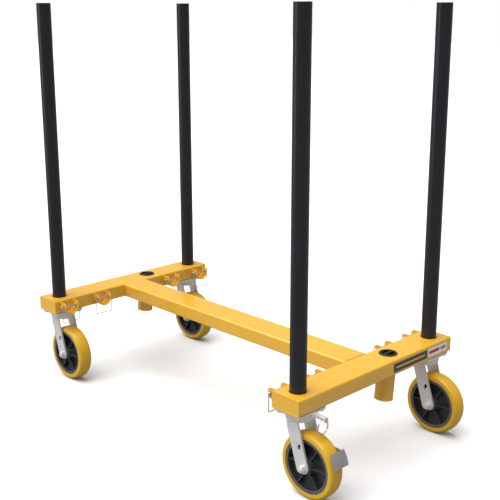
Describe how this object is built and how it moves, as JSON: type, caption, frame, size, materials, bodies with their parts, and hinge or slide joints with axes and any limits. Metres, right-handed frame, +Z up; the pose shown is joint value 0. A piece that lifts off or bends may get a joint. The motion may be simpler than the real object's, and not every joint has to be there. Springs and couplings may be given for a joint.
{
  "type": "beam trolley",
  "caption": "H-shaped chassis of yellow rectangular tube on swivel casters, with tall black posts in corner sockets and U-shaped brackets with wire-lock pins.",
  "frame": {"origin": "on the floor, under the middle of the whole length and width", "axes": "+X along the main beam towards the braked end, +Y along the cross-beams towards the back, +Z up"},
  "size_m": [1.452, 0.742, 1.3946],
  "materials": {
    "yellow_powder_coat": "glossy yellow-orange powder coat",
    "black_powder_coat": "satin black powder coat",
    "black_plastic": "black moulded plastic",
    "zinc_plated_steel": "bright zinc plate",
    "grey_steel": "dull grey plated steel",
    "yellow_polyurethane": "moulded yellow polyurethane tread",
    "dark_core": "dark painted wheel core"
  },
  "bodies": {
    "chassis": {"cross_beam_left": "yellow_powder_coat", "cross_beam_right": "yellow_powder_coat", "main_beam": "yellow_powder_coat", "end_cap_left_front": "yellow_powder_coat", "end_cap_left_back": "yellow_powder_coat", "bracket_left_1": "yellow_powder_coat", "bracket_left_2": "yellow_powder_coat", "bracket_left_3": "yellow_powder_coat", "bracket_left_4": "yellow_powder_coat", "end_cap_right_front": "yellow_powder_coat", "end_cap_right_back": "yellow_powder_coat", "bracket_right_1": "yellow_powder_coat", "bracket_right_2": "yellow_powder_coat", "bracket_right_3": "yellow_powder_coat", "bracket_right_4": "yellow_powder_coat", "caster_plate_left_front": "zinc_plated_steel", "caster_plate_left_back": "zinc_plated_steel", "caster_plate_right_front": "zinc_plated_steel", "caster_plate_right_back": "zinc_plated_steel", "swivel_lock_bracket": "zinc_plated_steel"},
    "pin_left_1": {"lock_pin_left_1": "zinc_plated_steel"},
    "wire_left_1": {"wire_lock_left_1": "zinc_plated_steel"},
    "pin_left_2": {"lock_pin_left_2": "zinc_plated_steel"},
    "wire_left_2": {"wire_lock_left_2": "zinc_plated_steel"},
    "pin_left_3": {"lock_pin_left_3": "zinc_plated_steel"},
    "wire_left_3": {"wire_lock_left_3": "zinc_plated_steel"},
    "pin_left_4": {"lock_pin_left_4": "zinc_plated_steel"},
    "wire_left_4": {"wire_lock_left_4": "zinc_plated_steel"},
    "pin_right_1": {"lock_pin_right_1": "zinc_plated_steel"},
    "wire_right_1": {"wire_lock_right_1": "zinc_plated_steel"},
    "pin_right_2": {"lock_pin_right_2": "zinc_plated_steel"},
    "wire_right_2": {"wire_lock_right_2": "zinc_plated_steel"},
    "pin_right_3": {"lock_pin_right_3": "zinc_plated_steel"},
    "wire_right_3": {"wire_lock_right_3": "zinc_plated_steel"},
    "pin_right_4": {"lock_pin_right_4": "zinc_plated_steel"},
    "wire_right_4": {"wire_lock_right_4": "zinc_plated_steel"},
    "post_left_front": {"post_left_front": "black_powder_coat"},
    "post_left_back": {"post_left_back": "black_powder_coat"},
    "plug_left": {"socket_plug_left": "black_plastic"},
    "post_right_front": {"post_right_front": "black_powder_coat"},
    "post_right_back": {"post_right_back": "black_powder_coat"},
    "plug_right": {"socket_plug_right": "black_plastic"},
    "fork_left_front": {"fork_left_front": "zinc_plated_steel", "axle_left_front": "zinc_plated_steel"},
    "wheel_left_front": {"wheel_core_left_front": "dark_core", "tyre_left_front": "yellow_polyurethane"},
    "fork_left_back": {"fork_left_back": "zinc_plated_steel", "axle_left_back": "zinc_plated_steel"},
    "wheel_left_back": {"wheel_core_left_back": "dark_core", "tyre_left_back": "yellow_polyurethane"},
    "fork_right_front": {"fork_right_front": "zinc_plated_steel", "axle_right_front": "zinc_plated_steel"},
    "wheel_right_front": {"wheel_core_right_front": "dark_core", "tyre_right_front": "yellow_polyurethane"},
    "fork_right_back": {"fork_right_back": "zinc_plated_steel", "axle_right_back": "zinc_plated_steel"},
    "wheel_right_back": {"wheel_core_right_back": "dark_core", "tyre_right_back": "yellow_polyurethane"},
    "brake": {"brake_pedal": "grey_steel"},
    "lock_plunger": {"swivel_lock_plunger": "zinc_plated_steel"}
  },
  "joints": [
    {"name": "pin_turn_left_1", "type": "hinge", "parent": "chassis", "child": "pin_left_1", "pos_m": [-0.59541, -0.321, 0.2968], "axis": [0, -1, 0], "range_deg": [-10, 120]},
    {"name": "wire_open_left_1", "type": "hinge", "parent": "pin_left_1", "child": "wire_left_1", "pos_m": [-0.59541, -0.3556, 0.2968], "axis": [-1, 0, 0], "range_deg": [0, 60]},
    {"name": "pin_turn_left_2", "type": "hinge", "parent": "chassis", "child": "pin_left_2", "pos_m": [-0.59541, -0.172, 0.2968], "axis": [0, -1, 0], "range_deg": [-10, 120]},
    {"name": "wire_open_left_2", "type": "hinge", "parent": "pin_left_2", "child": "wire_left_2", "pos_m": [-0.59541, -0.2066, 0.2968], "axis": [-1, 0, 0], "range_deg": [0, 60]},
    {"name": "pin_turn_left_3", "type": "hinge", "parent": "chassis", "child": "pin_left_3", "pos_m": [-0.59541, 0.172, 0.2968], "axis": [0, -1, 0], "range_deg": [-10, 120]},
    {"name": "wire_open_left_3", "type": "hinge", "parent": "pin_left_3", "child": "wire_left_3", "pos_m": [-0.59541, 0.1374, 0.2968], "axis": [-1, 0, 0], "range_deg": [0, 60]},
    {"name": "pin_turn_left_4", "type": "hinge", "parent": "chassis", "child": "pin_left_4", "pos_m": [-0.59541, 0.321, 0.2968], "axis": [0, -1, 0], "range_deg": [-10, 120]},
    {"name": "wire_open_left_4", "type": "hinge", "parent": "pin_left_4", "child": "wire_left_4", "pos_m": [-0.59541, 0.2864, 0.2968], "axis": [-1, 0, 0], "range_deg": [0, 60]},
    {"name": "pin_turn_right_1", "type": "hinge", "parent": "chassis", "child": "pin_right_1", "pos_m": [0.49059, -0.321, 0.2968], "axis": [0, 1, 0], "range_deg": [-10, 120]},
    {"name": "wire_open_right_1", "type": "hinge", "parent": "pin_right_1", "child": "wire_right_1", "pos_m": [0.49059, -0.3556, 0.2968], "axis": [-1, 0, 0], "range_deg": [0, 60]},
    {"name": "pin_turn_right_2", "type": "hinge", "parent": "chassis", "child": "pin_right_2", "pos_m": [0.49059, -0.172, 0.2968], "axis": [0, 1, 0], "range_deg": [-10, 120]},
    {"name": "wire_open_right_2", "type": "hinge", "parent": "pin_right_2", "child": "wire_right_2", "pos_m": [0.49059, -0.2066, 0.2968], "axis": [-1, 0, 0], "range_deg": [0, 60]},
    {"name": "pin_turn_right_3", "type": "hinge", "parent": "chassis", "child": "pin_right_3", "pos_m": [0.49059, 0.172, 0.2968], "axis": [0, 1, 0], "range_deg": [-10, 120]},
    {"name": "wire_open_right_3", "type": "hinge", "parent": "pin_right_3", "child": "wire_right_3", "pos_m": [0.49059, 0.1374, 0.2968], "axis": [-1, 0, 0], "range_deg": [0, 60]},
    {"name": "pin_turn_right_4", "type": "hinge", "parent": "chassis", "child": "pin_right_4", "pos_m": [0.49059, 0.321, 0.2968], "axis": [0, 1, 0], "range_deg": [-10, 120]},
    {"name": "wire_open_right_4", "type": "hinge", "parent": "pin_right_4", "child": "wire_right_4", "pos_m": [0.49059, 0.2864, 0.2968], "axis": [-1, 0, 0], "range_deg": [0, 60]},
    {"name": "post_lift_left_front", "type": "slide", "parent": "chassis", "child": "post_left_front", "axis": [0, 0, 1], "range_m": [0, 0.045]},
    {"name": "post_lift_left_back", "type": "slide", "parent": "chassis", "child": "post_left_back", "axis": [0, 0, 1], "range_m": [0, 0.045]},
    {"name": "plug_lift_left", "type": "slide", "parent": "chassis", "child": "plug_left", "axis": [0, 0, 1], "range_m": [0, 0.03]},
    {"name": "post_lift_right_front", "type": "slide", "parent": "chassis", "child": "post_right_front", "axis": [0, 0, 1], "range_m": [0, 0.045]},
    {"name": "post_lift_right_back", "type": "slide", "parent": "chassis", "child": "post_right_back", "axis": [0, 0, 1], "range_m": [0, 0.045]},
    {"name": "plug_lift_right", "type": "slide", "parent": "chassis", "child": "plug_right", "axis": [0, 0, 1], "range_m": [0, 0.03]},
    {"name": "swivel_left_front", "type": "hinge", "parent": "chassis", "child": "fork_left_front", "pos_m": [-0.67141, -0.3064, 0.24], "axis": [0, 0, 1], "continuous": true},
    {"name": "wheel_spin_left_front", "type": "hinge", "parent": "fork_left_front", "child": "wheel_left_front", "pos_m": [-0.62441, -0.3064, 0.1016], "axis": [0, 1, 0], "continuous": true},
    {"name": "swivel_left_back", "type": "hinge", "parent": "chassis", "child": "fork_left_back", "pos_m": [-0.67141, 0.3064, 0.24], "axis": [0, 0, 1], "continuous": true},
    {"name": "wheel_spin_left_back", "type": "hinge", "parent": "fork_left_back", "child": "wheel_left_back", "pos_m": [-0.62441, 0.3064, 0.1016], "axis": [0, 1, 0], "continuous": true},
    {"name": "swivel_right_front", "type": "hinge", "parent": "chassis", "child": "fork_right_front", "pos_m": [0.56659, -0.3064, 0.24], "axis": [0, 0, 1], "continuous": true},
    {"name": "wheel_spin_right_front", "type": "hinge", "parent": "fork_right_front", "child": "wheel_right_front", "pos_m": [0.61359, -0.3064, 0.1016], "axis": [0, 1, 0], "continuous": true},
    {"name": "swivel_right_back", "type": "hinge", "parent": "chassis", "child": "fork_right_back", "pos_m": [0.56659, 0.3064, 0.24], "axis": [0, 0, 1], "continuous": true},
    {"name": "wheel_spin_right_back", "type": "hinge", "parent": "fork_right_back", "child": "wheel_right_back", "pos_m": [0.61359, 0.3064, 0.1016], "axis": [0, 1, 0], "continuous": true},
    {"name": "brake_press", "type": "hinge", "parent": "fork_right_front", "child": "brake", "pos_m": [0.59689, -0.3064, 0.1625], "axis": [0, 1, 0], "range_deg": [0, 8]},
    {"name": "swivel_lock_pull", "type": "slide", "parent": "chassis", "child": "lock_plunger", "axis": [1, 0, 0], "range_m": [0, 0.008], "stiffness_N_per_m": 600, "springref_m": -0.01}
  ]
}
